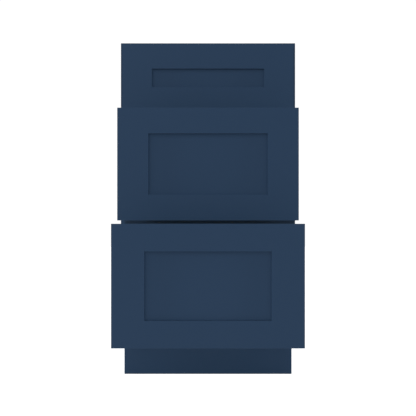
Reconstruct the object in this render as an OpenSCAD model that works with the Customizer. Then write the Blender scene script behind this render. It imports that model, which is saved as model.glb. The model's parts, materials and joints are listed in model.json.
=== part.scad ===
// Three-drawer bathroom vanity base: plywood box, hardwood face frame, full-overlay
// five-piece drawer fronts, dovetailed drawer boxes and undermount slides.
// X runs to the right of someone facing it, -Y to the front and +Z up.
// The origin is the middle of the back's lower edge, where the wall meets the floor.

/* [Cabinet] */
// Overall width, across the face frame
cabinet_w = 457.2; // [419.1:38.1:609.6]
// Height from the floor to the top edges
cabinet_h = 876.3; // [857.25:6.35:914.4]
// Depth from the wall to the face frame's front
cabinet_d = 533.4; // [533.4:25.4:609.6]
// Thickness of the plywood panels
ply_t = 12.7; // [11.7:0.5:13.7]
// Depth of the grooves that hold the bottom and back panels
dado = 6.35; // [4.85:0.5:7.35]

/* [Face frame] */
// Thickness of the face frame
frame_t = 19.05; // [18.05:0.5:20.05]
// Width of each stile and rail of the face frame
frame_w = 38.1; // [36.1:0.5:40.1]
// How far the frame stands past each side panel
frame_overhang = 4.76; // [3.26:0.5:5.76]
// Length of the tenons that join its rails to its stiles
tenon_len = 15; // [8:1:20]

/* [Toe space] */
// Height of the toe space
toe_h = 114.3; // [88.9:6.35:114.3]
// Depth of the toe space behind the frame's front
toe_recess = 50.8; // [44.45:6.35:76.2]

/* [Drawer fronts] */
// Thickness of the drawer fronts
front_t = 19.05; // [18.05:0.5:20.05]
// Gap between two fronts, and border of frame left showing
reveal = 6.35; // [4.35:0.5:8.35]
// Height of the top drawer front
top_front_h = 174.625; // [168.275:6.35:187.325]
// Height of the middle drawer front
middle_front_h = 276.225; // [257.175:6.35:288.925]
// Width of the upright members of each front
front_stile_w = 76.2; // [63.5:6.35:82.55]
// Width of the level members of each front
front_rail_w = 63.5; // [50.8:6.35:69.85]
// Thickness of the flat centre panel
center_panel_t = 6.35; // [5.35:0.5:7.35]
// How far the centre panel lies behind the front's face
panel_recess = 8; // [6:0.5:9]
// Depth of the groove that holds the centre panel
front_groove = 9.5; // [8:0.5:11]
// Gap between a closed front and the face frame, held by the bumpers
bumper_gap = 1.5; // [1.5:0.5:3]

/* [Drawer boxes] */
// Length of the drawer boxes
box_len = 457.2; // [406.4:25.4:457.2]
// Thickness of the drawer box sides, front and back
box_t = 15.875; // [14.375:0.5:15.875]
// Thickness of the drawer box bottom
box_bottom_t = 9.5; // [6.5:0.5:9.5]
// Spacing of the dovetails up each corner
tail_pitch = 25.4; // [20.4:1:26.4]
// Slope of the dovetails' sides
tail_angle = 8; // [6:1:12]
// Wood left in front of the dovetails
tail_lap = 3.2; // [2.7:0.5:4.2]

/* [Slides] */
// Travel of each drawer
slide_travel = 457.2; // [406.4:25.4:457.2]
// Thickness of the slides' steel
steel_t = 1.5; // [1.2:0.1:1.6]

/* [Pull-out at rest] */
// How far the top drawer stands open
top_pull = 0; // [0:25.4:406.4]
// How far the middle drawer stands open
middle_pull = 152.4; // [0:25.4:406.4]
// How far the bottom drawer stands open
bottom_pull = 304.8; // [0:25.4:406.4]

/* [Hidden] */
$fn = 48;

// Drawers are counted from the bottom: 0 bottom, 1 middle, 2 top.
BOTTOM = 0;
MIDDLE = 1;
TOP = 2;
pull = [bottom_pull, middle_pull, top_pull];

// Box of the cabinet
box_half = cabinet_w / 2 - frame_overhang;
inner_half = box_half - ply_t;
dado_half = inner_half + dado;
frame_front = -cabinet_d;
frame_back = frame_front + frame_t;
toe_front = frame_front + toe_recess;
floor_z = toe_h + frame_w;

// Drawer fronts, from the lowest up
front_w = cabinet_w - 2 * reveal;
bottom_front_h = cabinet_h - toe_h - 4 * reveal - top_front_h - middle_front_h;
front_h = [bottom_front_h, middle_front_h, top_front_h];
front_z = [
  toe_h + reveal,
  toe_h + 2 * reveal + bottom_front_h,
  cabinet_h - reveal - top_front_h
];
front_back = frame_front - bumper_gap;
front_face = front_back - front_t;
panel_y = front_face + panel_recess;
front_inner_half = front_w / 2 - front_stile_w;
panel_play = 0.8;

// Face frame rails and the drawer openings between them
mid_rail_z = [for (d = [MIDDLE, TOP]) front_z[d] - (reveal + frame_w) / 2];
rail_z = [toe_h, mid_rail_z[0], mid_rail_z[1], cabinet_h - frame_w];
opening_half = cabinet_w / 2 - frame_w;
opening_z = [for (d = [BOTTOM:TOP]) rail_z[d] + frame_w];
opening_h = [for (d = [BOTTOM:TOP]) rail_z[d + 1] - opening_z[d]];
tenon_t = frame_t / 2;
tenon_h = frame_w - 12;

// Drawer boxes: undermount slides need 42 mm of the opening's width for the inside
box_side_gap = 21 - box_t;
box_lift = 14;
box_headroom = 6;
bottom_lift = 12.7;
groove_play = 0.2;
box_groove = 6.35;
box_out = opening_half - box_side_gap;
box_in = box_out - box_t;
box_front = front_back;
box_back = box_front + box_len;
tails = [for (h = opening_h) floor((h - box_lift - box_headroom) / tail_pitch)];
box_h = [for (n = tails) n * tail_pitch];
box_z = [for (z = opening_z) z + box_lift];

// Dovetails: half widths at the shoulder and at the wide end
tail_len = box_t - tail_lap;
tail_root = tail_pitch / 4;
tail_tip = tail_root + tail_len * tan(tail_angle);

// Slides, measured from the opening's edge inwards and from its lower edge up
channel_u = 24;
channel_w = 21;
channel_h = 10;
channel_lip = 4;
channel_v = 1.6;
flange_h = 22.4;
drawer_channel_top = 26.6;
drawer_channel_h = 11.2;
glide_w = 16.6;
glide_flange_t = 2;
glide_web_t = 3;
glide_v = 4.6;
glide_h = 17.6;
glide_overlap = 171.4;
glide_len = slide_travel / 2 + glide_overlap;
slide_start = box_front + box_t + 6;
tab_front = frame_front + 2;
rail_back = -20;
bracket_front = -64;
flange_back = bracket_front - 2;
notch_u = [22, 48];

// Screws: a pan-head one for all the hardware, and a longer one for the drawer fronts
screw_d = 3.6;
screw_head_d = 7;
screw_head_h = 2;
screw_len = 14;
screw_play = 0.1;
screw_tip = 3;
tab_screw_v = [8.5, 17.5];
tab_screw_y = frame_front + frame_t / 2;
front_screw_d = 4;
front_screw_head_d = 9;
front_screw_bite = 11;
front_screw_x = (front_inner_half + box_in) / 2;
front_screw_inset = 30;

// Corner braces and rear brackets
brace_leg = 70;
brace_t = 4;
brace_flange_t = 3;
brace_flange_h = 25;
brace_z = cabinet_h - 3;
brace_hole = 24;
brace_hole_d = 5.5;
brace_screw_at = 42;
brace_screw_z = -14;
bracket_t = 3;
bracket_wall = 2;
bracket_u = [8, 60];
bracket_h = 28;
bracket_screw_u = [14, 54];
bracket_screw_v = 14;

bumper_d = 9.5;
bumper_t = 1.4;
bumper_inset = 12;

// Colours
navy = "#2c3e55";
birch = "#d9c29b";
maple = "#e5d0a8";
zinc = "#b6b9bb";
gray_plastic = "#8e9194";
screw_steel = "#d0d2d3";
clear_rubber = "#e6e6e0";

// ---- Helpers ----

module block(low, high) {
  translate(low) cube(high - low);
}

// An outline in Y and Z, swept from x0 to x1
module sweep_x(x0, x1) {
  translate([x0, 0, 0]) rotate([90, 0, 90]) linear_extrude(x1 - x0) children();
}

// An outline in X and Z, swept from y0 to y1
module sweep_y(y0, y1) {
  translate([0, y1, 0]) rotate([90, 0, 0]) linear_extrude(y1 - y0) children();
}

// The same shape on both sides of the middle
module both_sides() {
  children();
  mirror([1, 0, 0]) children();
}

// Puts a shape drawn for the right on the right (side 1) or the left (side -1)
module on_side(side) {
  mirror([side < 0 ? 1 : 0, 0, 0]) children();
}

// Slide parts are drawn in slide coordinates: u in from the opening's edge, v up
function slide_xz(d, points) = [for (p = points) [opening_half - p[0], opening_z[d] + p[1]]];

// A pan-head screw with its head's underside at the origin and its shank along -Z
module screw(d, head_d, len) {
  cylinder(d = head_d, h = screw_head_h);
  translate([0, 0, screw_tip - len]) cylinder(d = d, h = len - screw_tip);
  translate([0, 0, -len]) cylinder(d1 = d / 4, d2 = d, h = screw_tip);
}

// The hole for that screw
module screw_hole(d, len) {
  translate([0, 0, -len - 0.3]) cylinder(d = d + 2 * screw_play, h = len + 1.3);
}

// ---- Where the hardware screws go ----

// Each inner top corner, with local X and Y running inwards along its two walls
module at_corners() {
  for (side = [-1, 1]) {
    translate([side * inner_half, frame_back, brace_z])
      mirror([side > 0 ? 1 : 0, 0, 0]) children();
    translate([side * inner_half, -ply_t, brace_z])
      mirror([side > 0 ? 1 : 0, 0, 0]) mirror([0, 1, 0]) children();
  }
}

module at_brace_screws() {
  translate([brace_screw_at, brace_flange_t, brace_screw_z]) rotate([-90, 0, 0]) children();
  translate([brace_flange_t, brace_screw_at, brace_screw_z]) rotate([0, 90, 0]) children();
}

module at_tab_screws(d) {
  both_sides()
    for (v = tab_screw_v)
      translate([opening_half - steel_t, tab_screw_y, opening_z[d] + v])
        rotate([0, -90, 0]) children();
}

module at_bracket_screws(d) {
  both_sides()
    for (u = bracket_screw_u)
      translate([opening_half - u, -ply_t - bracket_t, opening_z[d] + bracket_screw_v])
        rotate([90, 0, 0]) children();
}

module hardware_screws() {
  at_corners() at_brace_screws() children();
  for (d = [BOTTOM:TOP]) {
    at_tab_screws(d) children();
    at_bracket_screws(d) children();
  }
}

module hardware_holes() {
  hardware_screws() screw_hole(screw_d, screw_len);
}

// ---- Cabinet box ----

module side_panel(side) {
  notch_y = toe_front + ply_t;
  color(navy) difference() {
    on_side(side) sweep_x(inner_half, box_half) polygon([
      [notch_y, 0], [0, 0], [0, cabinet_h],
      [frame_back, cabinet_h], [frame_back, toe_h], [notch_y, toe_h]
    ]);
    on_side(side) block(
      [inner_half - 1, frame_back - 1, floor_z - ply_t], [dado_half, 0, floor_z]
    );
    on_side(side) block([inner_half - 1, -ply_t, -1], [dado_half, 1, cabinet_h + 1]);
    hardware_holes();
  }
}

module bottom_panel() {
  color(birch) block([-dado_half, frame_back, floor_z - ply_t], [dado_half, -ply_t, floor_z]);
}

module back_panel() {
  color(birch) difference() {
    block([-dado_half, -ply_t, 0], [dado_half, 0, cabinet_h]);
    hardware_holes();
  }
}

// Its upper part reaches between the side panels to the bottom panel
module toe_kick() {
  color(navy) sweep_y(toe_front, toe_front + ply_t) polygon([
    [-box_half, 0], [box_half, 0], [box_half, toe_h], [inner_half, toe_h],
    [inner_half, floor_z - ply_t], [-inner_half, floor_z - ply_t],
    [-inner_half, toe_h], [-box_half, toe_h]
  ]);
}

// ---- Face frame ----

module tenon(z, half) {
  y = (frame_front + frame_back - tenon_t) / 2;
  rise = (frame_w - tenon_h) / 2;
  block([-half, y, z + rise], [half, y + tenon_t, z + rise + tenon_h]);
}

module stile(side) {
  color(navy) difference() {
    on_side(side) block(
      [opening_half, frame_front, toe_h], [cabinet_w / 2, frame_back, cabinet_h]
    );
    for (z = rail_z) tenon(z, opening_half + tenon_len);
    hardware_holes();
  }
}

module frame_rail(i) {
  z = rail_z[i];
  color(navy) difference() {
    union() {
      block([-opening_half, frame_front, z], [opening_half, frame_back, z + frame_w]);
      tenon(z, opening_half + tenon_len);
    }
    hardware_holes();
  }
}

// ---- Braces, brackets and screws ----

module corner_brace() {
  tip = 6;
  difference() {
    union() {
      translate([0, 0, -brace_t]) linear_extrude(brace_t) polygon([
        [0, 0], [brace_leg, 0], [brace_leg, tip], [tip, brace_leg], [0, brace_leg]
      ]);
      block([0, 0, -brace_flange_h], [brace_leg, brace_flange_t, 0]);
      block([0, 0, -brace_flange_h], [brace_flange_t, brace_leg, 0]);
    }
    translate([brace_hole, brace_hole, -brace_t - 1])
      cylinder(d = brace_hole_d, h = brace_t + 2);
    at_brace_screws() screw_hole(screw_d, screw_len);
  }
}

module corner_braces() {
  color(gray_plastic) at_corners() corner_brace();
}

// A screwed plate with a trough that carries the rear end of a cabinet rail
module rear_bracket(d) {
  y_plate = -ply_t - bracket_t;
  gap = 0.5;
  floor_t = channel_v - 0.2;
  u0 = channel_u - gap;
  u1 = channel_u + channel_w + gap;
  wall_h = channel_v + channel_h;
  difference() {
    union() {
      sweep_y(y_plate, -ply_t) polygon(slide_xz(d, [
        [bracket_u[0], 0], [bracket_u[1], 0], [bracket_u[1], bracket_h], [bracket_u[0], bracket_h]
      ]));
      sweep_y(bracket_front, y_plate) polygon(slide_xz(d, [
        [u0 - bracket_wall, 0], [u1 + bracket_wall, 0], [u1 + bracket_wall, wall_h],
        [u1, wall_h], [u1, floor_t], [u0, floor_t], [u0, wall_h], [u0 - bracket_wall, wall_h]
      ]));
    }
    at_bracket_screws(d) screw_hole(screw_d, screw_len);
  }
}

module rear_brackets() {
  color(gray_plastic) both_sides() for (d = [BOTTOM:TOP]) rear_bracket(d);
}

module mounting_screws() {
  color(screw_steel) hardware_screws() screw(screw_d, screw_head_d, screw_len);
}

// ---- Slides ----

// A lipped channel that opens upwards, or downwards when rise is -1
function channel(u, v, w, h, rise) = [
  for (p = [
    [0, 0], [w, 0], [w, h], [w - channel_lip, h], [w - channel_lip, h - steel_t],
    [w - steel_t, h - steel_t], [w - steel_t, steel_t], [steel_t, steel_t],
    [steel_t, h - steel_t], [channel_lip, h - steel_t], [channel_lip, h], [0, h]
  ]) [u + p[0], v + rise * p[1]]
];

// The flange that the opening's edge holds, and the foot that joins it to the channel
flange_foot = [
  [0, channel_v + flange_h], [0, channel_v], [channel_u + steel_t, channel_v],
  [channel_u + steel_t, channel_v + steel_t], [steel_t, channel_v + steel_t],
  [steel_t, channel_v + flange_h]
];

module cabinet_rails(d) {
  cabinet_channel = channel(channel_u, channel_v, channel_w, channel_h, 1);
  color(zinc) both_sides() difference() {
    union() {
      sweep_y(frame_back + 1, flange_back) polygon(slide_xz(d, flange_foot));
      sweep_y(frame_back + 1, rail_back) polygon(slide_xz(d, cabinet_channel));
      sweep_y(tab_front, frame_back + 1) polygon(slide_xz(d, [
        [0, channel_v], [steel_t, channel_v],
        [steel_t, channel_v + flange_h], [0, channel_v + flange_h]
      ]));
    }
    at_tab_screws(d) screw_hole(screw_d, screw_len);
  }
}

// An I-shaped member that runs in the cabinet rail and carries the drawer rail
module glide_rails(d) {
  mid = channel_u + channel_w / 2;
  f = glide_w / 2;
  w = glide_web_t / 2;
  top = glide_h - glide_flange_t;
  outline = [
    for (p = [
      [-f, 0], [f, 0], [f, glide_flange_t], [w, glide_flange_t], [w, top], [f, top],
      [f, glide_h], [-f, glide_h], [-f, top], [-w, top], [-w, glide_flange_t],
      [-f, glide_flange_t]
    ]) [mid + p[0], glide_v + p[1]]
  ];
  color(zinc) translate([0, -pull[d] / 2, 0]) both_sides()
    sweep_y(slide_start + 1, slide_start + glide_len) polygon(slide_xz(d, outline));
}

module drawer_rails(d) {
  drawer_channel = channel(channel_u, drawer_channel_top, channel_w, drawer_channel_h, -1);
  hook_u = channel_u + channel_w / 2;
  hook_half = 4.5;
  hook_top = 40;
  back_gap = 0.1;
  color(zinc) translate([0, -pull[d], 0]) both_sides() {
    sweep_y(slide_start, box_back + back_gap + steel_t) polygon(slide_xz(d, drawer_channel));
    sweep_y(box_back + back_gap, box_back + back_gap + steel_t) polygon(slide_xz(d, [
      [hook_u - hook_half, drawer_channel_top - steel_t],
      [hook_u + hook_half, drawer_channel_top - steel_t],
      [hook_u + hook_half, hook_top], [hook_u - hook_half, hook_top]
    ]));
  }
}

// ---- Drawer boxes ----

// The ends of the tails at one end of a side, in Y and Z, before they are cut or added
module tail_outlines(d) {
  inner = box_front + box_t;
  for (i = [0:tails[d] - 1]) {
    z = box_z[d] + tail_pitch * (i + 0.5);
    polygon([
      [inner, z - tail_root], [inner, z + tail_root],
      [inner - tail_len, z + tail_tip], [inner - tail_len, z - tail_tip]
    ]);
  }
}

// The tails of one side (1 right, -1 left), at the drawer's front and back ends
module side_tails(d, side) {
  on_side(side) sweep_x(box_in, box_out) tail_outlines(d);
  translate([0, box_front + box_back, 0]) mirror([0, 1, 0])
    on_side(side) sweep_x(box_in, box_out) tail_outlines(d);
}

// The box bottom, or with play the groove that it slides into
module bottom_slab(d, play) {
  x = box_in + box_groove - groove_play + play;
  y0 = box_front + box_t - box_groove + groove_play - play;
  y1 = box_back - box_t + box_groove - groove_play + play;
  z = box_z[d] + bottom_lift;
  block([-x, y0, z], [x, y1, z + box_bottom_t]);
}

module box_side(d, side) {
  color(maple) translate([0, -pull[d], 0]) difference() {
    union() {
      on_side(side) block(
        [box_in, box_front + box_t, box_z[d]], [box_out, box_back - box_t, box_z[d] + box_h[d]]
      );
      side_tails(d, side);
    }
    bottom_slab(d, groove_play);
  }
}

module box_end(d, y) {
  difference() {
    block([-box_out, y, box_z[d]], [box_out, y + box_t, box_z[d] + box_h[d]]);
    side_tails(d, -1);
    side_tails(d, 1);
    bottom_slab(d, groove_play);
    children();
  }
}

module front_screw_places(d) {
  both_sides()
    for (z = [box_z[d] + front_screw_inset, box_z[d] + box_h[d] - front_screw_inset])
      translate([front_screw_x, box_front + box_t, z]) rotate([-90, 0, 0]) children();
}

module front_screw_holes(d) {
  front_screw_places(d) screw_hole(front_screw_d, box_t + front_screw_bite);
}

module box_front_board(d) {
  color(maple) translate([0, -pull[d], 0]) box_end(d, box_front) front_screw_holes(d);
}

// Its lower edge is notched for the slides
module box_back_board(d) {
  color(maple) translate([0, -pull[d], 0]) box_end(d, box_back - box_t)
    both_sides() block(
      [opening_half - notch_u[1], box_back - box_t - 1, box_z[d] - 1],
      [opening_half - notch_u[0], box_back + 1, box_z[d] + bottom_lift]
    );
}

module box_bottom_board(d) {
  color(birch) translate([0, -pull[d], 0]) bottom_slab(d, 0);
}

// A clip under each front corner, which catches the front end of the drawer rail
module locking_clips(d) {
  y = box_front + box_t + 0.2;
  catch_len = 5.5;
  body_len = 55;
  lever_len = 85;
  low = opening_z[d] + box_lift + 0.5;
  high = opening_z[d] + drawer_channel_top - 0.1;
  u = channel_u + channel_w;
  color(gray_plastic) translate([0, -pull[d], 0]) both_sides() {
    sweep_x(opening_half - u - 18, opening_half - u - 1.5) polygon([
      [y, low], [y + lever_len, low + 1], [y + lever_len, low + 3.5],
      [y + body_len, low + 5], [y + body_len, high], [y, high]
    ]);
    block([opening_half - u - 2, y, low], [opening_half - channel_u, y + catch_len, high]);
  }
}

module front_screws(d) {
  color(screw_steel) translate([0, -pull[d], 0])
    front_screw_places(d) screw(front_screw_d, front_screw_head_d, box_t + front_screw_bite);
}

// ---- Drawer fronts ----

// The plane in which the centre panel and the members' tongues lie
module panel_layer(x, z0, z1) {
  block([-x, panel_y, z0], [x, panel_y + center_panel_t, z1]);
}

module front_stiles(d) {
  z0 = front_z[d];
  z1 = z0 + front_h[d];
  color(navy) translate([0, -pull[d], 0]) difference() {
    both_sides() block([front_inner_half, front_face, z0], [front_w / 2, front_back, z1]);
    panel_layer(front_inner_half + front_groove, z0 - 1, z1 + 1);
    front_screw_holes(d);
  }
}

// A level member from z0 to z1, with a tongue at each end, grooved on its inner edge
module front_rail(d, z0, z1, groove_z0, groove_z1) {
  color(navy) translate([0, -pull[d], 0]) difference() {
    union() {
      block([-front_inner_half, front_face, z0], [front_inner_half, front_back, z1]);
      panel_layer(front_inner_half + front_groove, z0, z1);
    }
    panel_layer(front_w, groove_z0, groove_z1);
  }
}

module front_top_rail(d) {
  z1 = front_z[d] + front_h[d];
  z0 = z1 - front_rail_w;
  front_rail(d, z0, z1, z0 - 1, z0 + front_groove);
}

module front_bottom_rail(d) {
  z0 = front_z[d];
  z1 = z0 + front_rail_w;
  front_rail(d, z0, z1, z1 - front_groove, z1 + 1);
}

module front_panel(d) {
  grip = front_groove - panel_play;
  color(navy) translate([0, -pull[d], 0]) panel_layer(
    front_inner_half + grip,
    front_z[d] + front_rail_w - grip,
    front_z[d] + front_h[d] - front_rail_w + grip
  );
}

module bumpers(d) {
  color(clear_rubber) translate([0, -pull[d], 0]) both_sides()
    translate([
      front_w / 2 - bumper_inset, front_back + bumper_t, front_z[d] + front_h[d] - bumper_inset
    ]) rotate([90, 0, 0]) cylinder(d = bumper_d, h = bumper_t);
}

// ---- Nodes ----

side_panel(-1);  // left_side_panel
side_panel(1);  // right_side_panel
bottom_panel();
back_panel();
stile(-1);  // left_stile
stile(1);  // right_stile
frame_rail(3);  // top_rail
frame_rail(2);  // upper_mid_rail
frame_rail(1);  // lower_mid_rail
frame_rail(0);  // bottom_rail
toe_kick();
corner_braces();
rear_brackets();
mounting_screws();
cabinet_rails(TOP);  // top_cabinet_rails
cabinet_rails(MIDDLE);  // middle_cabinet_rails
cabinet_rails(BOTTOM);  // bottom_cabinet_rails
glide_rails(TOP);  // top_glide_rails
glide_rails(MIDDLE);  // middle_glide_rails
glide_rails(BOTTOM);  // bottom_glide_rails
drawer_rails(TOP);  // top_drawer_rails
drawer_rails(MIDDLE);  // middle_drawer_rails
drawer_rails(BOTTOM);  // bottom_drawer_rails
front_stiles(TOP);  // top_front_stiles
front_stiles(MIDDLE);  // middle_front_stiles
front_stiles(BOTTOM);  // bottom_front_stiles
front_top_rail(TOP);  // top_front_top_rail
front_top_rail(MIDDLE);  // middle_front_top_rail
front_top_rail(BOTTOM);  // bottom_front_top_rail
front_bottom_rail(TOP);  // top_front_bottom_rail
front_bottom_rail(MIDDLE);  // middle_front_bottom_rail
front_bottom_rail(BOTTOM);  // bottom_front_bottom_rail
front_panel(TOP);  // top_front_panel
front_panel(MIDDLE);  // middle_front_panel
front_panel(BOTTOM);  // bottom_front_panel
box_side(TOP, -1);  // top_box_left_side
box_side(MIDDLE, -1);  // middle_box_left_side
box_side(BOTTOM, -1);  // bottom_box_left_side
box_side(TOP, 1);  // top_box_right_side
box_side(MIDDLE, 1);  // middle_box_right_side
box_side(BOTTOM, 1);  // bottom_box_right_side
box_front_board(TOP);  // top_box_front
box_front_board(MIDDLE);  // middle_box_front
box_front_board(BOTTOM);  // bottom_box_front
box_back_board(TOP);  // top_box_back
box_back_board(MIDDLE);  // middle_box_back
box_back_board(BOTTOM);  // bottom_box_back
box_bottom_board(TOP);  // top_box_bottom
box_bottom_board(MIDDLE);  // middle_box_bottom
box_bottom_board(BOTTOM);  // bottom_box_bottom
locking_clips(TOP);  // top_locking_clips
locking_clips(MIDDLE);  // middle_locking_clips
locking_clips(BOTTOM);  // bottom_locking_clips
front_screws(TOP);  // top_front_screws
front_screws(MIDDLE);  // middle_front_screws
front_screws(BOTTOM);  // bottom_front_screws
bumpers(TOP);  // top_bumpers
bumpers(MIDDLE);  // middle_bumpers
bumpers(BOTTOM);  // bottom_bumpers
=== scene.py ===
"""The looks of a three-drawer bathroom vanity base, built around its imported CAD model.

Painted fronts and face frame, clear-coated maple drawer boxes, birch plywood panels and
zinc-plated undermount slides. Lengths are in metres, in the CAD model's own frame:
X to the right of someone facing it, -Y to the front, Z up.
"""

import json
import math
import random

import bmesh
import bpy
from mathutils import Matrix, Vector


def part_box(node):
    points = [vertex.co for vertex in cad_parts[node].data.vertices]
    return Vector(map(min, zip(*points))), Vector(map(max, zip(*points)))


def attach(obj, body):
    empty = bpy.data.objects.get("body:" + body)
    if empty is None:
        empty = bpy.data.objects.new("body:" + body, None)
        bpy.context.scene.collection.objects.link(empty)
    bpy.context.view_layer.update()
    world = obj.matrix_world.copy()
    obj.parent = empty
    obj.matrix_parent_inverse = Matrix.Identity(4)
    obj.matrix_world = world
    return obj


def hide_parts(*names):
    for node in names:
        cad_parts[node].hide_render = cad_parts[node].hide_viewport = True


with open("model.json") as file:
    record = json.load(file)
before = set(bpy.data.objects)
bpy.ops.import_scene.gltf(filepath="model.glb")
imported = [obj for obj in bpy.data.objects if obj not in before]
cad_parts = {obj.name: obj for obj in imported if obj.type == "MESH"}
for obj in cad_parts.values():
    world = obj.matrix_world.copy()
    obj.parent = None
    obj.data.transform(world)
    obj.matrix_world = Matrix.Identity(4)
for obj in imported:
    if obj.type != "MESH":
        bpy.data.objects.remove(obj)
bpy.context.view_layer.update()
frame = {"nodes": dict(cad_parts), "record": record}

MM = 0.001
AXES = {"X": Vector((1, 0, 0)), "Y": Vector((0, 1, 0)), "Z": Vector((0, 0, 1))}
SIDES = {"left": -1, "right": 1}
DRAWERS = ("bottom", "middle", "top")
BODIES = frame["record"]["behaviour"]["bodies"]
BODY_OF = {node: body for body, nodes in BODIES.items() for node in nodes}


# ---- Node helpers ----


def add(tree, kind, inputs=None, **settings):
    """A shader node with its settings and its inputs, each a value or another node's socket."""
    node = tree.nodes.new("ShaderNode" + kind)
    for name, value in settings.items():
        setattr(node, name, value)
    for name, value in (inputs or {}).items():
        if isinstance(value, bpy.types.NodeSocket):
            tree.links.new(value, node.inputs[name])
        else:
            node.inputs[name].default_value = value
    return node


def linear(hex_colour):
    """A screen colour such as 2c3e55 as linear red, green, blue and alpha."""
    values = [int(hex_colour[i : i + 2], 16) / 255 for i in (0, 2, 4)]
    bright = [((v + 0.055) / 1.055) ** 2.4 for v in values]
    dim = [v / 12.92 for v in values]
    return tuple(b if v > 0.04045 else d for v, b, d in zip(values, bright, dim)) + (1.0,)


def grain(tree, along=1.0, across=None, through=None):
    """A piece's own coordinates (along its grain, across it, through it), each times a scale."""
    across = along if across is None else across
    through = across if through is None else through
    place = add(tree, "Attribute", attribute_name="grain").outputs["Vector"]
    scaled = add(tree, "VectorMath", {0: place, 1: (along, across, through)}, operation="MULTIPLY")
    return scaled.outputs[0]


def edge_wear_and_highlight(tree):
    """1 on a piece's eased edges and 0 elsewhere. Paint and plastic turn lighter there, partly as
    wear and partly as a painted highlight.
    """
    return add(tree, "Attribute", attribute_name="edge_wear_and_highlight").outputs["Fac"]


def noise(tree, vector, detail=2.0, roughness=0.5):
    inputs = {"Vector": vector, "Scale": 1, "Detail": detail, "Roughness": roughness}
    return add(tree, "TexNoise", inputs).outputs[0]


def ramp(tree, fac, stops):
    """A colour ramp with stops of (position, colour or grey value)."""
    made = add(tree, "ValToRGB", {0: fac})
    elements = made.color_ramp.elements
    while len(elements) < len(stops):
        elements.new(0.5)
    for element, (position, colour) in zip(elements, stops):
        element.position = position
        element.color = colour if isinstance(colour, tuple) else (colour, colour, colour, 1)
    return made.outputs[0]


def mix(tree, fac, a, b, blend="MIX"):
    made = add(tree, "Mix", {0: fac, 6: a, 7: b}, data_type="RGBA", blend_type=blend)
    return made.outputs[2]


def calc(tree, operation, a, b=0.0, c=0.0):
    return add(tree, "Math", {0: a, 1: b, 2: c}, operation=operation).outputs[0]


def remap(tree, value, low, high):
    """A value from 0 to 1 moved to low to high."""
    return add(tree, "MapRange", {0: value, 3: low, 4: high}).outputs[0]


def bump(tree, height, distance, under=None):
    """Raises a surface by up to distance where height is 1, on top of the bump under it."""
    inputs = {"Height": height, "Distance": distance, "Strength": 1.0}
    if under is not None:
        inputs["Normal"] = under
    return add(tree, "Bump", inputs).outputs[0]


def material(name, build, **constants):
    """A material whose build function returns what drives its shader."""
    made = bpy.data.materials.new(name)
    made.use_nodes = True
    tree = made.node_tree
    tree.nodes.clear()
    inputs = {key.replace("_", " "): value for key, value in constants.items()}
    shader = add(tree, "BsdfPrincipled", {**inputs, **build(tree)})
    add(tree, "OutputMaterial", {0: shader.outputs[0]})
    return made


# ---- Paint, metal and plastic ----

NAVY = (0.0160, 0.0364, 0.0734, 1.0)
NAVY_DEEP = (0.0152, 0.0352, 0.0714, 1.0)
# Lighter navy on the eased edges: rubbed paint plus a painted edge highlight
NAVY_EDGE_WEAR_AND_HIGHLIGHT = (0.0220, 0.0462, 0.0866, 1.0)
PEEL_HEIGHT = 0.02 * MM
NIB_HEIGHT = 0.02 * MM
ROLLED_HEIGHT = 0.008 * MM
SCREW_TEXTURE_HEIGHT = 0.01 * MM
SPARK_HEIGHT = 0.02 * MM


def navy_paint(tree):
    """Sprayed satin paint: faintly cloudy, with orange peel, and thinner and lighter on its eased
    edges: rubbed wear plus a painted edge highlight.
    """
    cloud = noise(tree, grain(tree, 7), detail=3)
    nib = ramp(tree, noise(tree, grain(tree, 160), detail=1), [(0.20, 1.0), (0.24, 0.0)])
    patchy = remap(tree, noise(tree, grain(tree, 90), detail=3), -0.3, 1.0)
    # Eased edges turn lighter in patches: wear, plus a painted highlight along the edges
    edge_rub_and_highlight = calc(tree, "MULTIPLY", edge_wear_and_highlight(tree), patchy)
    tone = mix(tree, cloud, NAVY_DEEP, NAVY)
    peel = noise(tree, grain(tree, 520), detail=2, roughness=0.4)
    first = bump(tree, peel, PEEL_HEIGHT)
    sheen = remap(tree, noise(tree, grain(tree, 24), detail=4), 0.43, 0.50)
    return {
        "Base Color": mix(tree, edge_rub_and_highlight, tone, NAVY_EDGE_WEAR_AND_HIGHLIGHT),
        "Roughness": calc(tree, "MULTIPLY_ADD", edge_rub_and_highlight, -0.08, sheen),
        "Normal": bump(tree, nib, NIB_HEIGHT, first),
    }


def zinc_steel(tree):
    """Rolled strip with a zinc coat: long rolling lines, cloudy patches and a faint blue tint."""
    rolled = noise(tree, grain(tree, 12, 1500), detail=3)
    cloud = noise(tree, grain(tree, 40, 60), detail=4)
    stops = [(0.3, linear("c3c8cd")), (0.55, linear("d6d8d9")), (0.75, linear("deddd4"))]
    lines = remap(tree, rolled, 0.0, 0.12)
    return {
        "Base Color": ramp(tree, cloud, stops),
        "Roughness": calc(tree, "ADD", lines, remap(tree, cloud, 0.30, 0.44)),
        "Normal": bump(tree, rolled, ROLLED_HEIGHT),
    }


def screw_steel(tree):
    """Bright zinc-plated screws, slightly uneven in tone and sheen."""
    cloud = noise(tree, grain(tree, 400), detail=3)
    return {
        "Base Color": ramp(tree, cloud, [(0.3, linear("b4b6b4")), (0.7, linear("d8d8d2"))]),
        "Roughness": remap(tree, cloud, 0.22, 0.38),
        "Normal": bump(tree, cloud, SCREW_TEXTURE_HEIGHT),
    }


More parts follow.
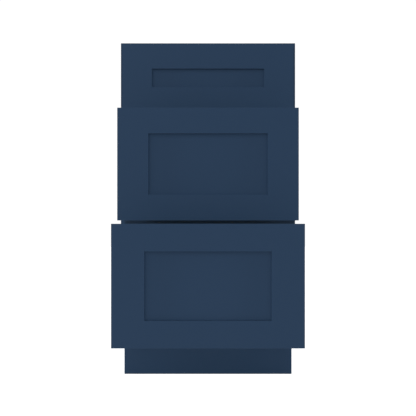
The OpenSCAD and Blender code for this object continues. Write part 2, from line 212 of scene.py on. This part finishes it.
def gray_plastic(tree):
    """Moulded plastic with a fine spark-eroded texture and slight flow marks, lighter on its eased
    edges: wear plus a painted edge highlight.
    """
    spark = noise(tree, grain(tree, 1800), detail=2)
    flow = noise(tree, grain(tree, 35, 80), detail=3)
    base = ramp(tree, flow, [(0.3, linear("858a8e")), (0.7, linear("949a9d"))])
    return {
        # Lighter grey on the eased edges: wear plus a painted edge highlight
        "Base Color": mix(tree, calc(tree, "MULTIPLY", edge_wear_and_highlight(tree), 0.4), base, linear("a9aeb0")),
        "Roughness": remap(tree, spark, 0.42, 0.60),
        "Normal": bump(tree, spark, SPARK_HEIGHT),
    }


def bumper_rubber(tree):
    """Clear soft bumpers, a little hazy."""
    haze = noise(tree, grain(tree, 500), detail=2)
    return {
        "Base Color": ramp(tree, haze, [(0.3, linear("dfe2de")), (0.7, linear("eef0ec"))]),
        "Roughness": remap(tree, haze, 0.18, 0.3),
    }


# ---- Wood ----

MAPLE_RING = 3.1 * MM
BIRCH_RING = 6.5 * MM
RING_UNEVENNESS = 0.9  # of one ring
PITH_WANDER = 30 * MM
PEEL_DEPTH = 75 * MM  # how much of the log's depth a peeled sheet wanders through
FACE_GRAIN_HEIGHT = 0.015 * MM
END_PIT_HEIGHT = 0.05 * MM
PLY_LAYER = 1.8 * MM
PLY_WANDER = 0.25 * MM
PLY_STRAND_HEIGHT = 0.06 * MM


def growth(tree, distance, spacing, light, mid, dark):
    """Rings by distance from the pith: each turns slowly from light to dark, and quickly back."""
    uneven = noise(tree, grain(tree, 2.5, 55), detail=3)
    offset = calc(tree, "MULTIPLY", uneven, RING_UNEVENNESS)
    count = calc(tree, "MULTIPLY_ADD", distance, 1 / spacing, offset)
    late = calc(tree, "FRACT", count)
    return ramp(tree, late, [(0.0, mid), (0.22, light), (0.60, mid), (0.88, dark), (1.0, mid)])


def fibre(tree, colour, dark):
    """Adds fine streaks along the grain, slow changes of tone and short dark pores."""
    streaks = noise(tree, grain(tree, 14, 950), detail=3, roughness=0.65)
    patches = noise(tree, grain(tree, 1.8, 9), detail=2)
    pores = ramp(tree, noise(tree, grain(tree, 130, 1700), detail=1), [(0.27, 1.0), (0.33, 0.0)])
    streaked = mix(tree, remap(tree, streaks, -0.25, 0.55), colour, dark, "MULTIPLY")
    toned = mix(tree, remap(tree, patches, -0.25, 0.45), streaked, dark)
    marked = mix(tree, calc(tree, "MULTIPLY", pores, 0.4), toned, dark)
    return marked, calc(tree, "SUBTRACT", streaks, pores)


def from_pith(tree):
    """Distance from the log's pith, which wanders along the board."""
    across = add(tree, "VectorMath", {0: grain(tree, 0, 1)}, operation="LENGTH").outputs[1]
    wander = noise(tree, grain(tree, 1.4, 6), detail=2)
    return calc(tree, "MULTIPLY_ADD", wander, PITH_WANDER, across)


def peeled(tree):
    """A peeled veneer cuts the rings at a shallow, wandering depth."""
    wander = noise(tree, grain(tree, 1.1, 4.2, 0), detail=1.5, roughness=0.4)
    return calc(tree, "MULTIPLY", wander, PEEL_DEPTH)


def board_face(distance, spacing, light, mid, dark, soak):
    """A board's long face, with rings by distance(tree), streaks and pores."""

    def build(tree):
        rings = growth(tree, distance(tree), spacing, light, mid, dark)
        colour, height = fibre(tree, rings, soak)
        return {
            "Base Color": colour,
            "Roughness": remap(tree, height, 0.34, 0.48),
            "Normal": bump(tree, height, FACE_GRAIN_HEIGHT),
        }

    return build


def board_end(spacing, light, mid, dark):
    """End grain: the same rings in arcs, darker than the face and finely pitted."""

    def build(tree):
        pits = noise(tree, grain(tree, 1100), detail=2)
        rings = growth(tree, from_pith(tree), spacing, light, mid, dark)
        return {
            "Base Color": mix(tree, remap(tree, pits, -0.2, 0.5), rings, dark),
            "Roughness": remap(tree, pits, 0.5, 0.7),
            "Normal": bump(tree, pits, END_PIT_HEIGHT),
        }

    return build


def ply_edge(tree):
    """Plywood's edge: thin layers in turn along and across the grain, glued and sanded."""
    wander = noise(tree, grain(tree, 25, 25, 0), detail=2)
    place = add(tree, "SeparateXYZ", {0: grain(tree)}).outputs[2]
    depth = calc(tree, "MULTIPLY_ADD", wander, PLY_WANDER, place)
    turn = calc(tree, "PINGPONG", calc(tree, "DIVIDE", depth, PLY_LAYER), 1.0)
    strands = noise(tree, grain(tree, 130, 130, 900), detail=3)
    side = ramp(tree, strands, [(0.3, linear("cdab78")), (0.7, linear("e6cda0"))])
    end = ramp(tree, strands, [(0.3, linear("8f683d")), (0.7, linear("b78f5c"))])
    layers = mix(tree, ramp(tree, turn, [(0.42, 0.0), (0.58, 1.0)]), side, end)
    glue = ramp(tree, turn, [(0.44, 0.0), (0.5, 0.45), (0.56, 0.0)])
    return {
        "Base Color": mix(tree, glue, layers, linear("6b4727")),
        "Roughness": remap(tree, strands, 0.55, 0.75),
        "Normal": bump(tree, strands, PLY_STRAND_HEIGHT),
    }


MAPLE = (linear("ecdcbf"), linear("e8d6b4"), linear("dec79f"))
MAPLE_END = (linear("d9bd90"), linear("c9a877"), linear("a98352"))
BIRCH = (linear("ead9b8"), linear("e6d3ae"), linear("dcc59c"))
MAPLE_SOAK = linear("d6b98c")
BIRCH_SOAK = linear("dcc196")

paint = material("navy_paint", navy_paint, Specular_IOR_Level=0.22)
maple_build = board_face(from_pith, MAPLE_RING, *MAPLE, MAPLE_SOAK)
maple = material("maple_face", maple_build, Coat_Weight=0.3, Coat_Roughness=0.28)
maple_end_build = board_end(MAPLE_RING, *MAPLE_END)
maple_end = material("maple_end", maple_end_build, Coat_Weight=0.1, Coat_Roughness=0.4)
birch_build = board_face(peeled, BIRCH_RING, *BIRCH, BIRCH_SOAK)
birch = material("birch_face", birch_build, Coat_Weight=0.2, Coat_Roughness=0.3)
ply = material("birch_ply_edge", ply_edge, Specular_IOR_Level=0.3)
zinc = material("zinc_steel", zinc_steel, Metallic=1.0)
bright_zinc = material("screw_steel", screw_steel, Metallic=1.0)
plastic = material("gray_plastic", gray_plastic, Specular_IOR_Level=0.4)
rubber = material("bumper_rubber", bumper_rubber, Transmission_Weight=0.5, IOR=1.45)


# ---- Mesh helpers ----

SHARP = math.radians(50)  # faces that meet at more than this aren't shaded as one
EASABLE = math.radians(30)  # edges blunter than this aren't eased
FLAT = math.radians(0.5)  # faces that meet at less than this are one
JOINED = 0.002 * MM  # corners nearer than this are one
CUT = 0.001 * MM  # corners nearer to a cut than this are on it


def new_mesh():
    bm = bmesh.new()
    bm.loops.layers.float.new("edge_wear_and_highlight")
    return bm


def cad_mesh(node):
    """The CAD node's surface, its corners joined and its flat faces whole again."""
    bm = new_mesh()
    bm.from_mesh(frame["nodes"][node].data)
    bmesh.ops.remove_doubles(bm, verts=bm.verts, dist=JOINED)
    bmesh.ops.dissolve_limit(bm, angle_limit=FLAT, verts=bm.verts, edges=bm.edges)
    return bm


def corners(points):
    """Lowest and highest corner of some points."""
    spans = [(min(p[i] for p in points), max(p[i] for p in points)) for i in range(3)]
    return Vector(s[0] for s in spans), Vector(s[1] for s in spans)


def islands(bm):
    """The vertices of each separate solid, in a fixed order."""
    seen, found = set(), []
    for start in bm.verts:
        if start in seen:
            continue
        seen.add(start)
        group, queue = [], [start]
        while queue:
            v = queue.pop()
            group.append(v)
            for other in (e.other_vert(v) for e in v.link_edges):
                if other not in seen:
                    seen.add(other)
                    queue.append(other)
        found.append(group)
    return found


def solids(node):
    """Lowest and highest corner of each separate solid in a CAD node."""
    bm = cad_mesh(node)
    found = [corners([v.co for v in group]) for group in islands(bm)]
    bm.free()
    return found


def score(bm, axis, places):
    """Splits faces across an axis, so that an edge can be eased over part of its length."""
    for place in places:
        geom = bm.verts[:] + bm.edges[:] + bm.faces[:]
        bmesh.ops.bisect_plane(
            bm, geom=geom, dist=CUT, plane_co=AXES[axis] * place, plane_no=AXES[axis]
        )


def runs(edge, axis):
    """Whether an edge runs along an axis."""
    along = edge.verts[1].co - edge.verts[0].co
    return abs(along.dot(AXES[axis])) > 0.999 * along.length


def middle(edge):
    return (edge.verts[0].co + edge.verts[1].co) / 2


def ease(bm, radius, where, segments=2):
    """Rounds the sharp outer edges that where() accepts, and notes the new faces as eased edges,
    which the shaders show lighter as wear plus a painted highlight.
    """
    outer = [e for e in bm.edges if len(e.link_faces) == 2 and e.is_convex]
    edges = [e for e in outer if e.calc_face_angle(0) > EASABLE and where(e)]
    if not edges:
        return
    made = bmesh.ops.bevel(
        bm,
        geom=edges,
        offset=radius,
        segments=segments,
        profile=0.5,
        affect="EDGES",
        clamp_overlap=True,
    )
    layer = bm.loops.layers.float["edge_wear_and_highlight"]
    for loop in (loop for face in made["faces"] for loop in face.loops):
        loop[layer] = 1.0


def longer_than(length):
    return lambda edge: edge.calc_length() > length


def write_grain(bm, along, seed, pith):
    """Gives each solid its own coordinates along, across and through its grain.

    With along None they are the solid's own place, so that paint runs on over a joint.
    pith says how deep the log's middle lies under the board, or None for plywood.
    """
    layer = bm.verts.layers.float_vector.new("grain")
    if along is None:
        for v in bm.verts:
            v[layer] = v.co
        return
    chance = random.Random(seed)
    first = "XYZ".index(along)
    for group in islands(bm):
        low, high = corners([v.co for v in group])
        size = high - low
        wide, thin = sorted((i for i in range(3) if i != first), key=lambda i: -size[i])
        shift = Vector((chance.uniform(0, 9), chance.uniform(0, 9), 0))
        if pith is not None:
            shift.y = -size[wide] * chance.uniform(0.3, 0.7)
            shift.z = pith * chance.uniform(0.6, 1.5)
        for v in group:
            place = v.co - low
            v[layer] = Vector((place[first], place[wide], place[thin])) + shift


def finish_piece(bm, node, choose, along=None, pith=None):
    """Makes the mesh the piece that stands for its CAD node. choose(face) gives a material."""
    write_grain(bm, along, node, pith)
    used = []
    for face in bm.faces:
        chosen = choose(face)
        if chosen not in used:
            used.append(chosen)
        face.material_index = used.index(chosen)
        face.smooth = True
    many_sided = [face for face in bm.faces if len(face.verts) > 4]
    bmesh.ops.triangulate(bm, faces=many_sided)
    for edge in bm.edges:
        edge.smooth = edge.calc_face_angle(math.pi) < SHARP
    data = bpy.data.meshes.new(node + "_finished")
    bm.to_mesh(data)
    bm.free()
    if "custom_normal" in data.attributes:
        data.attributes.remove(data.attributes["custom_normal"])
    for made in used:
        data.materials.append(made)
    piece = bpy.data.objects.new(node + "_finished", data)
    bpy.context.scene.collection.objects.link(piece)
    even = piece.modifiers.new("even_shading", "WEIGHTED_NORMAL")
    even.keep_sharp = True
    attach(piece, BODY_OF[node])
    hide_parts(node)


# ---- Which material a face takes ----


def all_of(chosen):
    return lambda face: chosen


def by_end(along, face_material, end_material):
    """End grain where the face looks along the board."""

    def choose(face):
        return end_material if abs(face.normal.dot(AXES[along])) > 0.8 else face_material

    return choose


def by_edge(through, face_material, edge_material):
    """Plywood layers on every face that isn't one of the panel's two broad ones."""

    def choose(face):
        return face_material if abs(face.normal.dot(AXES[through])) > 0.7 else edge_material

    return choose


def painted(faces_paint, bare):
    """Paint on the faces whose normals faces_paint accepts, and what bare gives elsewhere."""
    return lambda face: paint if faces_paint(face.normal) else bare(face)


# ---- Cabinet ----

EASED = 0.4 * MM
PANEL_EASED = 0.3 * MM
PANEL_EDGE = 100 * MM  # a panel's edges no longer than this stay sharp
TOE_EDGE = 50 * MM


def make_side_panel(side):
    """Painted outside, bare birch inside."""
    node = side + "_side_panel"
    outer = SIDES[side]
    bm = cad_mesh(node)
    ease(bm, PANEL_EASED, lambda e: middle(e).x * outer > limit_x(node) - PANEL_EASED)
    outside = painted(lambda n: n.x * outer > 0.5, by_edge("X", birch, ply))
    finish_piece(bm, node, outside, "Z")


def limit_x(node):
    """How far the node reaches from the middle, to either side."""
    low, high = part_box(node)
    return max(abs(low.x), abs(high.x))


def make_frame():
    """Face frame, eased on its outline and along the openings."""
    for side in SIDES:
        node = side + "_stile"
        bm = cad_mesh(node)
        ease(bm, EASED, lambda e: abs(middle(e).x) > limit_x(node) - EASED)
        finish_piece(bm, node, all_of(paint))
    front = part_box("left_stile")[0].y
    for rail in ("top_rail", "upper_mid_rail", "lower_mid_rail", "bottom_rail"):
        bm = cad_mesh(rail)
        ease(bm, EASED, lambda e: runs(e, "X") and middle(e).y < front + EASED)
        finish_piece(bm, rail, all_of(paint))


def make_panels():
    """Side, back and bottom panels, and the toe kick, painted where it shows."""
    for side in SIDES:
        make_side_panel(side)
    for node, along, through in (("back_panel", "Z", "Y"), ("bottom_panel", "Y", "Z")):
        bm = cad_mesh(node)
        ease(bm, PANEL_EASED, longer_than(PANEL_EDGE))
        finish_piece(bm, node, by_edge(through, birch, ply), along)
    bm = cad_mesh("toe_kick")
    ease(bm, PANEL_EASED, longer_than(TOE_EDGE))
    outside = painted(lambda n: n.y < -0.5 or abs(n.x) > 0.5, by_edge("Y", birch, ply))
    finish_piece(bm, "toe_kick", outside)


# ---- Turned and small parts ----


def lathe(bm, matrix, outline, steps):
    """Turns an outline of (radius, height) points, from bottom to top, round the matrix's Z axis."""
    rings = []
    for radius, height in outline:
        turns = steps if radius > 0 else 1
        angles = [2 * math.pi * i / steps for i in range(turns)]
        points = [Vector((radius * math.cos(a), radius * math.sin(a), height)) for a in angles]
        rings.append([bm.verts.new(matrix @ p) for p in points])
    for low, high in zip(rings, rings[1:]):
        for i in range(steps):
            j = (i + 1) % steps
            lower = [low[i % len(low)], low[j % len(low)]]
            upper = [high[j % len(high)], high[i % len(high)]]
            bm.faces.new(list(dict.fromkeys(lower + upper)))
    return rings


def pointing(place, direction):
    """A matrix at place whose Z axis points in a direction."""
    turn = Vector(direction).to_track_quat("Z", "Y").to_matrix().to_4x4()
    return Matrix.Translation(place) @ turn


THREAD_PITCH = 1.6 * MM
THREAD_DEPTH = 0.14  # of the shank's diameter
THREAD_STEPS = 12  # points in a ring
THREAD_ROWS = 4  # rings in a turn


def thread(bm, matrix, radius, top, bottom, tip):
    """A pointed shank with a helical thread: its rings' radius follows the turn and the height."""
    steps = THREAD_STEPS
    rows = math.ceil((top - bottom) / THREAD_PITCH * THREAD_ROWS)
    previous = None
    for row in range(rows):
        height = top - (top - bottom) * row / rows
        taper = min(1.0, (height - bottom) / tip)
        ring = []
        for i in range(steps):
            turn = (height / THREAD_PITCH + i / steps) % 1
            ridge = 1 - 2 * THREAD_DEPTH * min(1.0, abs(turn - 0.5) * 4)
            a = 2 * math.pi * i / steps
            r = radius * ridge * taper
            ring.append(bm.verts.new(matrix @ Vector((r * math.cos(a), r * math.sin(a), height))))
        if previous:
            for i in range(steps):
                j = (i + 1) % steps
                bm.faces.new((previous[j], previous[i], ring[i], ring[j]))
        else:
            bm.faces.new(ring)
        previous = ring
    point = bm.verts.new(matrix @ Vector((0, 0, bottom)))
    for i in range(steps):
        bm.faces.new((previous[(i + 1) % steps], previous[i], point))


# Shares of a screw head's radius and height, from its underside to the top of its dome
HEAD_RIM = ((0.0, 0.0), (0.96, 0.0), (1.0, 0.10), (1.0, 0.42))
HEAD_DOME = ((0.93, 0.70), (0.78, 0.90), (0.62, 0.985))
HEAD_STEPS = 24
CROSS_ARM = 0.54
CROSS_HALF_WIDTH = 0.13
CROSS_LEVELS = ((1.0, 1.0), (0.92, 0.75), (0.55, 0.25))  # its size, and height in the head


def pan_head(bm, matrix, radius, height):
    """A domed head with a cross recess, standing on the plane at height 0."""
    steps = HEAD_STEPS
    outline = [(radius * f, height * h) for f, h in HEAD_RIM + HEAD_DOME]
    ring = lathe(bm, matrix, outline, steps)[-1]
    arm, half = radius * CROSS_ARM, radius * CROSS_HALF_WIDTH
    cross = []
    for quarter in range(4):
        turn = Matrix.Rotation(quarter * math.pi / 2, 3, "Z")
        cross += [turn @ Vector(p) for p in ((arm, -half, 0), (arm, half, 0), (half, half, 0))]
    loops = [
        [bm.verts.new(matrix @ Vector((p.x * f, p.y * f, h * height))) for p in cross]
        for f, h in CROSS_LEVELS
    ]
    count = len(cross)
    for i in range(count):
        a, b, c = (ring[(2 * i - 1 + k) % steps] for k in range(3))
        j = (i + 1) % count
        bm.faces.new((a, b, loops[0][i]))
        bm.faces.new((b, c, loops[0][j], loops[0][i]))
        for upper, lower in zip(loops, loops[1:]):
            bm.faces.new((upper[i], upper[j], lower[j], lower[i]))
    bm.faces.new(loops[-1])


HEAD_HEIGHT = 2 * MM
POINT_LENGTH = 3 * MM
MOUNTING_SHANK = 3.6 / 7  # of the head's diameter
FRONT_SHANK = 4 / 9


def make_screws(node, shank):
    """Pan-head screws where the CAD node's solids are. shank is its share of the head's width."""
    bm = new_mesh()
    source = cad_mesh(node)
    for group in islands(source):
        low, high = corners([v.co for v in group])
        size = high - low
        axis = max(range(3), key=lambda i: size[i])
        along = AXES["XYZ"[axis]]
        centre = (low + high) / 2
        head = max(group, key=lambda v: (v.co - centre - along * (v.co - centre)[axis]).length)
        sign = 1 if head.co[axis] > centre[axis] else -1
        direction = along * sign
        under = centre + direction * (size[axis] / 2 - HEAD_HEIGHT)
        matrix = pointing(under, direction)
        radius = min(size) / 2
        pan_head(bm, matrix, radius, HEAD_HEIGHT)
        length = size[axis] - HEAD_HEIGHT
        thread(bm, matrix, radius * shank, 0.0, -length, POINT_LENGTH)
    source.free()
    bmesh.ops.recalc_face_normals(bm, faces=bm.faces)
    finish_piece(bm, node, all_of(bright_zinc))


BUMPER_STEPS = 28
BUMPER_ARC = (0.25, 0.6, 0.95, 1.25)  # radians up its dome


def make_bumpers(node):
    """Soft domed discs."""
    bm = new_mesh()
    for low, high in solids(node):
        radius = (high.x - low.x) / 2
        height = high.y - low.y
        base = Vector(((low.x + high.x) / 2, low.y, (low.z + high.z) / 2))
        arc = [(radius * math.cos(a), height * math.sin(a)) for a in BUMPER_ARC]
        outline = [(0.0, 0.0), (radius * 0.94, 0.0), (radius, 0.12 * height), *arc, (0.0, height)]
        lathe(bm, pointing(base, AXES["Y"]), outline, BUMPER_STEPS)
    bmesh.ops.recalc_face_normals(bm, faces=bm.faces)
    finish_piece(bm, node, all_of(rubber))


def prism(bm, outline, thickness, place):
    """A closed solid: an outline of (a, b) points, as thick as given. place(a, b, c) maps it."""
    rings = [[bm.verts.new(place(a, b, c)) for a, b in outline] for c in (0, thickness)]
    bm.faces.new(rings[0])
    bm.faces.new(rings[1])
    for i, (a, b) in enumerate(zip(*rings)):
        j = (i + 1) % len(outline)
        bm.faces.new((a, rings[0][j], rings[1][j], b))


BRACE_PLATE = 4 * MM
BRACE_FLANGE = 3 * MM
BRACE_HOLE = (24 * MM, 24 * MM)
BRACE_HOLE_RADIUS = 2.75 * MM
BOSS_RADIUS = 6.5 * MM
BOSS_HEIGHT = 1.2 * MM
BOSS_ROUNDED = 0.4 * MM
BOSS_STEPS = 32
RIB = 1.8 * MM
RIB_REACH = 12 * MM
RIB_END = 1 * MM  # how deep a rib still is where it ends
RIB_PLACES = (31 * MM, 57 * MM)
LIP_INSET = 6 * MM  # from each end of the plate's diagonal edge
LIP_DEPTH = 6 * MM
SUNK = 0.2 * MM  # how far a moulded detail reaches into the wall that it grows from
BRACE_EASED = 0.8 * MM
BRACKET_EASED = 0.5 * MM
THIN_WALL = 2.6 * MM  # edges no longer than this stay sharp


def brace_details(bm, low, high):
    """A boss round the countertop screw's hole, ribs under the plate, a lip on its diagonal."""
    side = 1 if low.x > 0 else -1
    end = 1 if low.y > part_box("left_stile")[1].y + high.x - low.x else -1
    corner = Vector((high.x if side > 0 else low.x, high.y if end > 0 else low.y, high.z))
    leg = high.x - low.x

    def at(a, b, z):
        return corner + Vector((-side * a, -end * b, z))

    def swapped(a, b, z):
        return at(b, a, z)

    inner, outer = BRACE_HOLE_RADIUS, BOSS_RADIUS
    shoulder = BOSS_HEIGHT - BOSS_ROUNDED
    ring = [(inner, -SUNK), (outer, -SUNK), (outer, shoulder)]
    ring += [(outer - BOSS_ROUNDED, BOSS_HEIGHT), (inner + BOSS_ROUNDED, BOSS_HEIGHT)]
    ring += [(inner, shoulder), (inner, -SUNK)]
    lathe(bm, Matrix.Translation(at(*BRACE_HOLE, 0)), ring, BOSS_STEPS)
    under = -BRACE_PLATE
    inside = BRACE_FLANGE - SUNK
    gusset = [(inside, under + SUNK), (inside + RIB_REACH, under + SUNK)]
    gusset += [(inside + RIB_REACH, under - RIB_END), (inside, under - RIB_REACH)]
    for place in RIB_PLACES:
        for turned in (at, swapped):
            prism(bm, gusset, RIB, lambda b, z, a: turned(place - RIB / 2 + a, b, z))
    near, far = LIP_INSET, leg - LIP_INSET
    across = RIB * math.sqrt(2)
    lip = [(far, near), (near, far), (near, far - across), (far - across, near)]
    prism(bm, lip, LIP_DEPTH + SUNK, lambda a, b, c: at(a, b, under + SUNK - c))


def make_hardware():
    """The cabinet's moulded braces and brackets, and the screws that hold them."""
    bm = cad_mesh("corner_braces")
    ease(bm, BRACE_EASED, longer_than(THIN_WALL))
    for low, high in solids("corner_braces"):
        brace_details(bm, low, high)
    bmesh.ops.remove_doubles(bm, verts=bm.verts, dist=JOINED)
    bmesh.ops.recalc_face_normals(bm, faces=bm.faces)
    finish_piece(bm, "corner_braces", all_of(plastic), "X")
    bm = cad_mesh("rear_brackets")
    ease(bm, BRACKET_EASED, longer_than(THIN_WALL))
    finish_piece(bm, "rear_brackets", all_of(plastic), "X")
    make_screws("mounting_screws", MOUNTING_SHANK)


# ---- Drawers ----

BOX_EASED = 1.8 * MM
BOX_STEPS = 3
STRIP_EASED = 0.6 * MM
CLIP_EASED = 0.6 * MM
CLIP_WALL = 3 * MM  # clip edges no longer than this stay sharp
LONG_EDGE = 20 * MM
SHORT_EDGE = 5 * MM
NEAR = 0.01 * MM
INSIDE = 1 * MM  # edges further in than this from a board's middle are on its inner face
LOG_DEPTH = 60 * MM  # about how deep under a box board the middle of its log is


def make_front(d):
    """Five painted members. Where two meet, neither is eased, so that the paint runs on."""
    stiles, panel = f"{d}_front_stiles", f"{d}_front_panel"
    top, bottom = f"{d}_front_top_rail", f"{d}_front_bottom_rail"
    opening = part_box(bottom)[1].z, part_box(top)[0].z
    low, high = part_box(stiles)

    def on_a_face(edge):
        return min(abs(middle(edge).y - low.y), abs(middle(edge).y - high.y)) < NEAR

    def stile_edge(edge):
        m = middle(edge)
        on_side = abs(m.x) > high.x - NEAR
        on_end = min(m.z - low.z, high.z - m.z) < NEAR
        beside_opening = opening[0] < m.z < opening[1]
        return on_side or (on_a_face(edge) and (on_end or beside_opening))

    bm = cad_mesh(stiles)
    score(bm, "Z", opening)
    ease(bm, EASED, stile_edge)
    finish_piece(bm, stiles, all_of(paint))
    for rail in (top, bottom):
        bm = cad_mesh(rail)
        ease(bm, EASED, lambda e: runs(e, "X") and on_a_face(e))
        finish_piece(bm, rail, all_of(paint))
    bm = cad_mesh(panel)
    ease(bm, PANEL_EASED, longer_than(LONG_EDGE))
    finish_piece(bm, panel, all_of(paint))


def make_box(d):
    """Dovetailed maple box with rounded upper and lower edges, on a birch plywood bottom."""
    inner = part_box(f"{d}_box_right_side")[0].x
    for side in SIDES:
        node = f"{d}_box_{side}_side"
        low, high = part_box(node)

        def long_rim(edge):
            z = middle(edge).z
            return runs(edge, "Y") and min(z - low.z, high.z - z) < NEAR

        bm = cad_mesh(node)
        ease(bm, BOX_EASED, long_rim, BOX_STEPS)
        finish_piece(bm, node, by_end("Y", maple, maple_end), "Y", LOG_DEPTH)
    for end, outward in (("front", -1), ("back", 1)):
        node = f"{d}_box_{end}"
        low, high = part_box(node)

        def rim(edge):
            m = middle(edge)
            lower = m.z - low.z < NEAR
            inside = (m.y - (low.y + high.y) / 2) * outward < -INSIDE
            upright = runs(edge, "Z") and not inside and abs(m.x) > high.x - NEAR
            past_side = abs(m.x) > inner and (inside or lower)
            level = (lower or high.z - m.z < NEAR) and edge.calc_length() > SHORT_EDGE
            return upright or (level and not past_side)

        bm = cad_mesh(node)
        score(bm, "X", (-inner, inner))
        ease(bm, BOX_EASED, rim, BOX_STEPS)
        finish_piece(bm, node, by_end("X", maple, maple_end), "X", LOG_DEPTH)
    node = f"{d}_box_bottom"
    bm = cad_mesh(node)
    ease(bm, PANEL_EASED, longer_than(LONG_EDGE))
    finish_piece(bm, node, by_edge("Z", birch, ply), "Y")


def make_slides(d):
    """Folded strip with its long edges and folds slightly round, and the clips that hold it."""
    for name in ("cabinet_rails", "glide_rails", "drawer_rails"):
        node = f"{d}_{name}"
        bm = cad_mesh(node)
        ease(bm, STRIP_EASED, lambda e: runs(e, "Y") and e.calc_length() > LONG_EDGE)
        finish_piece(bm, node, all_of(zinc), "Y")
    make_clips(f"{d}_locking_clips")


GRIPS = 6
GRIP_PITCH = 3.6 * MM
GRIP_HEIGHT = 0.7 * MM
GRIP_INSET = 1.5 * MM
LEVER_END = 1 * MM  # corners this near a clip's rear are those of its lever's free end


def grip_ridges(bm, low, high):
    """Ridges for the fingers under the last stretch of a lever. low and high are of its free end."""
    crest = [(0.4 * GRIP_PITCH, -GRIP_HEIGHT), (0.6 * GRIP_PITCH, -GRIP_HEIGHT)]
    ridge = [(0, SUNK), *crest, (GRIP_PITCH, SUNK)]
    width = high.x - low.x - 2 * GRIP_INSET
    for i in range(GRIPS):
        start = Vector((low.x + GRIP_INSET, high.y - GRIP_INSET - (i + 1) * GRIP_PITCH, low.z))
        prism(bm, ridge, width, lambda a, b, c: start + Vector((c, a, b)))


def make_clips(node):
    """Moulded clips that catch the slides, each with a lever that frees it."""
    bm = cad_mesh(node)
    ease(bm, CLIP_EASED, longer_than(CLIP_WALL))
    for group in islands(bm):
        end = max(v.co.y for v in group) - LEVER_END
        grip_ridges(bm, *corners([v.co for v in group if v.co.y > end]))
    bmesh.ops.recalc_face_normals(bm, faces=bm.faces)
    finish_piece(bm, node, all_of(plastic), "Y")


def make_drawer(d):
    """Everything that moves with one drawer, its cabinet rails, and its glide rails."""
    make_front(d)
    make_box(d)
    make_slides(d)
    make_screws(f"{d}_front_screws", FRONT_SHANK)
    make_bumpers(f"{d}_bumpers")


# ---- Studio ----

CAMERA_DISTANCE = 2.556
CAMERA_HEIGHT = 0.4335
LENS = 84.28
SENSOR_WIDTH = 36
VIEW_SHIFT = 0.0096

WHITE = (1, 1, 1, 1)
SKY = (0.98, 0.99, 1.0, 1)
SKY_STRENGTH = 0.34
BACKGROUND_STRENGTH = 1.05
FLOOR_TONE = (0.7, 0.7, 0.7, 1)
FLOOR_GLOW = 0.95
FLOOR_SIZE = 9
FLOOR_DROP = 0.05 * MM

# Suns without highlights: name, direction, power, and spread in degrees
SUNS = (
    ("front", (0.03, 1, -0.07), 1.54, 3),
    ("front_left", (0.5, 1, -0.1), 0.10, 12),
    ("front_right", (-0.5, 1, -0.1), 0.06, 12),
    ("left", (1, 0.1, -0.1), 1.9, 6),
    ("right", (-1, 0.1, -0.1), 1.7, 6),
    ("back", (0, -1, -0.1), 1.2, 6),
    ("above", (0, 0.1, -1), 0.6, 20),
)
KEY_PLACE = (-1.6, -2.6, 2.3)
KEY_TOWARDS = (1.6, 2.1, -1.8)
KEY_POWER = 14
KEY_SIZE = 1.8


def make_camera():
    """A level camera, straight in front of the cabinet."""
    data = bpy.data.cameras.new("camera")
    data.lens = LENS
    data.sensor_width = SENSOR_WIDTH
    data.shift_y = VIEW_SHIFT
    camera = bpy.data.objects.new("camera", data)
    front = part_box("left_stile")[0].y
    camera.location = (0, front - CAMERA_DISTANCE, CAMERA_HEIGHT)
    camera.rotation_euler = (math.radians(90), 0, 0)
    bpy.context.scene.collection.objects.link(camera)
    bpy.context.scene.camera = camera


def light(name, kind, towards, power, place=(0, 0, 2), glossy=True, **settings):
    """A light of a kind at a place, shining in a direction. Without glossy it makes no highlight."""
    data = bpy.data.lights.new(name, kind)
    data.energy = power
    for key, value in settings.items():
        setattr(data, key, value)
    made = bpy.data.objects.new(name, data)
    made.location = place
    made.rotation_euler = Vector(towards).to_track_quat("-Z", "Y").to_euler()
    made.visible_glossy = glossy
    bpy.context.scene.collection.objects.link(made)


def seen_or_not(tree, seen, unseen):
    """One shader for what the camera sees directly, and another for the light that it gives."""
    path = add(tree, "LightPath").outputs["Is Camera Ray"]
    return add(tree, "MixShader", {0: path, 1: unseen, 2: seen}).outputs[0]


def make_world():
    """White behind the object, and an even soft light around it."""
    world = bpy.data.worlds.new("studio")
    bpy.context.scene.world = world
    world.use_nodes = True
    tree = world.node_tree
    tree.nodes.clear()
    around = add(tree, "Background", {0: SKY, 1: SKY_STRENGTH})
    behind = add(tree, "Background", {0: WHITE, 1: BACKGROUND_STRENGTH})
    add(tree, "OutputWorld", {0: seen_or_not(tree, behind.outputs[0], around.outputs[0])})


def make_floor():
    """A plain pale floor, which the camera sees as white as what is behind it."""
    bm = bmesh.new()
    bmesh.ops.create_grid(bm, x_segments=1, y_segments=1, size=FLOOR_SIZE)
    data = bpy.data.meshes.new("floor")
    bm.to_mesh(data)
    bm.free()
    floor = bpy.data.objects.new("floor", data)
    floor.location = (0, 0, -FLOOR_DROP)
    bpy.context.scene.collection.objects.link(floor)
    made = bpy.data.materials.new("floor_white")
    made.use_nodes = True
    tree = made.node_tree
    tree.nodes.clear()
    matt = add(tree, "BsdfDiffuse", {0: FLOOR_TONE}).outputs[0]
    glow = add(tree, "Emission", {0: WHITE, 1: FLOOR_GLOW}).outputs[0]
    lit = add(tree, "AddShader", {0: matt, 1: glow}).outputs[0]
    add(tree, "OutputMaterial", {0: seen_or_not(tree, lit, matt)})
    data.materials.append(made)


def make_studio():
    """Camera, world, floor and lights, with colours shown as they are."""
    make_camera()
    make_world()
    make_floor()
    for name, towards, power, spread in SUNS:
        light(name, "SUN", towards, power, glossy=False, angle=math.radians(spread))
    light("key", "AREA", KEY_TOWARDS, KEY_POWER, KEY_PLACE, shape="SQUARE", size=KEY_SIZE)
    view = bpy.context.scene.view_settings
    view.view_transform = "Standard"
    view.look = "None"


make_studio()
make_panels()
make_frame()
make_hardware()
for drawer in DRAWERS:
    make_drawer(drawer)
